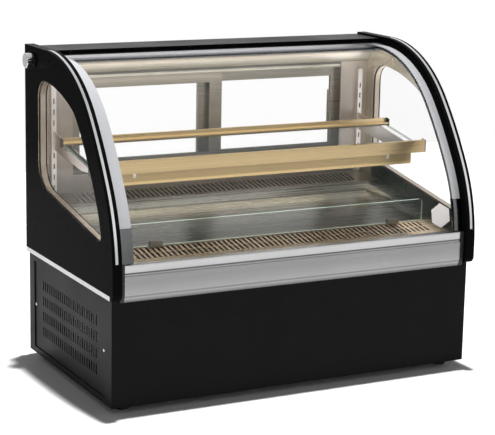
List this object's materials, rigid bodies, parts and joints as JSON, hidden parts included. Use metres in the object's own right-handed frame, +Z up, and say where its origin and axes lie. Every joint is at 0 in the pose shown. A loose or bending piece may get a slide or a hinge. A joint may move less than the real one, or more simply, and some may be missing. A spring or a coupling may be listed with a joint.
{
  "type": "countertop cake display fridge",
  "caption": "Countertop refrigerated cake display with a curved lift-up front glass, sloped deck, glass shelf, side windows and sliding rear doors.",
  "frame": {"origin": "centre of the footprint at counter level, under the feet", "axes": "+X to the viewer's right as seen from the front, +Y to the rear service side, +Z up"},
  "size_m": [0.94, 0.514, 0.7314],
  "materials": {
    "rubber": "matt",
    "galvanised": "matt",
    "black_sheet": "satin",
    "screw_steel": "satin",
    "black_gloss": "gloss",
    "clear_glass": "gloss",
    "spacer": "satin",
    "bright_trim": "gloss",
    "black_plastic": "matt",
    "chrome": "gloss",
    "satin_silver": "satin",
    "dark_chrome": "gloss",
    "liner": "satin",
    "stainless": "satin",
    "grille": "satin",
    "bright_clip": "gloss",
    "door_aluminium": "satin",
    "champagne": "satin",
    "diffuser": "satin",
    "label": "matt",
    "compressor_black": "gloss",
    "coil_metal": "satin",
    "copper": "satin"
  },
  "bodies": {
    "cabinet": {"rubber_feet": "rubber", "base_pan": "galvanised", "base_side_frames": "black_sheet", "side_vent_covers": "black_sheet", "side_vent_screws": "screw_steel", "front_panel": "black_gloss", "base_rear_panel": "black_sheet", "side_panel_left": "black_gloss", "side_panel_right": "black_gloss", "side_window_panes": "clear_glass", "side_window_spacers": "spacer", "rim_trims": "bright_trim", "bottom_trims": "bright_trim", "knob_washers": "black_plastic", "front_bumper": "satin_silver", "bumper_end_caps": "black_plastic", "insulated_tub": "liner", "deck_tray": "stainless", "front_grille": "grille", "rear_grille": "grille", "deflector_glass": "clear_glass", "deflector_clips": "bright_clip", "rear_wall_frame": "liner", "door_tracks": "door_aluminium", "top_cap": "black_gloss", "top_header": "liner", "ceiling_lamp_housing": "champagne", "lamp_diffusers": "diffuser", "shelf_pilasters": "stainless", "shelf_brackets": "stainless", "shelf_glass": "clear_glass", "shelf_front_rail": "champagne", "shelf_rear_rail": "champagne", "rail_end_caps": "black_plastic", "shelf_lamp_housing": "champagne", "lamp_clips": "bright_clip", "compressor": "compressor_black", "condenser_coil": "coil_metal", "evaporator_coil": "coil_metal", "fan_motors": "coil_metal", "refrigerant_pipes": "copper", "control_box": "black_plastic", "switch_bodies": "black_plastic", "power_inlet": "black_plastic"},
    "front_glass_assembly": {"front_glass": "clear_glass", "glass_top_rail": "satin_silver", "glass_edge_bands": "satin_silver", "glass_lower_clamps": "dark_chrome", "hex_label": "label"},
    "left_door": {"left_door_frame": "door_aluminium", "left_door_glass": "clear_glass"},
    "right_door": {"right_door_frame": "door_aluminium", "right_door_glass": "clear_glass"},
    "condenser_fan": {"condenser_fan_blade": "black_plastic"},
    "evaporator_fan": {"evaporator_fan_blade": "black_plastic"},
    "power_switch": {"power_switch_rocker": "black_plastic"},
    "light_switch": {"light_switch_rocker": "black_plastic"},
    "thermostat_dial": {"thermostat_knob": "black_plastic"},
    "left_side_knob": {"side_knob_left": "chrome"},
    "right_side_knob": {"side_knob_right": "chrome"}
  },
  "joints": [
    {"name": "front_glass_tilt", "type": "hinge", "parent": "cabinet", "child": "front_glass_assembly", "pos_m": [0, 0.1438, 0.712], "axis": [-1, 0, 0], "range_deg": [0, 50]},
    {"name": "left_door_slide", "type": "slide", "parent": "cabinet", "child": "left_door", "axis": [1, 0, 0], "range_m": [0, 0.336]},
    {"name": "right_door_slide", "type": "slide", "parent": "cabinet", "child": "right_door", "axis": [-1, 0, 0], "range_m": [0, 0.336]},
    {"name": "condenser_fan_spin", "type": "hinge", "parent": "cabinet", "child": "condenser_fan", "pos_m": [-0.341, 0.01, 0.104], "axis": [1, 0, 0], "continuous": true},
    {"name": "evaporator_fan_spin", "type": "hinge", "parent": "cabinet", "child": "evaporator_fan", "pos_m": [0, 0.066, 0.304], "axis": [0, 1, 0], "continuous": true},
    {"name": "power_switch_rock", "type": "hinge", "parent": "cabinet", "child": "power_switch", "pos_m": [0.285, 0.238, 0.165], "axis": [-1, 0, 0], "range_deg": [0, 16]},
    {"name": "light_switch_rock", "type": "hinge", "parent": "cabinet", "child": "light_switch", "pos_m": [0.319, 0.238, 0.165], "axis": [-1, 0, 0], "range_deg": [0, 16]},
    {"name": "thermostat_turn", "type": "hinge", "parent": "cabinet", "child": "thermostat_dial", "pos_m": [0.374, 0.238, 0.165], "axis": [0, 1, 0], "range_deg": [0, 270]},
    {"name": "left_side_knob_turn", "type": "hinge", "parent": "cabinet", "child": "left_side_knob", "pos_m": [-0.45, 0.202, 0.7], "axis": [-1, 0, 0], "range_deg": [0, 360]},
    {"name": "right_side_knob_turn", "type": "hinge", "parent": "cabinet", "child": "right_side_knob", "pos_m": [0.45, 0.202, 0.7], "axis": [1, 0, 0], "range_deg": [0, 360]}
  ]
}
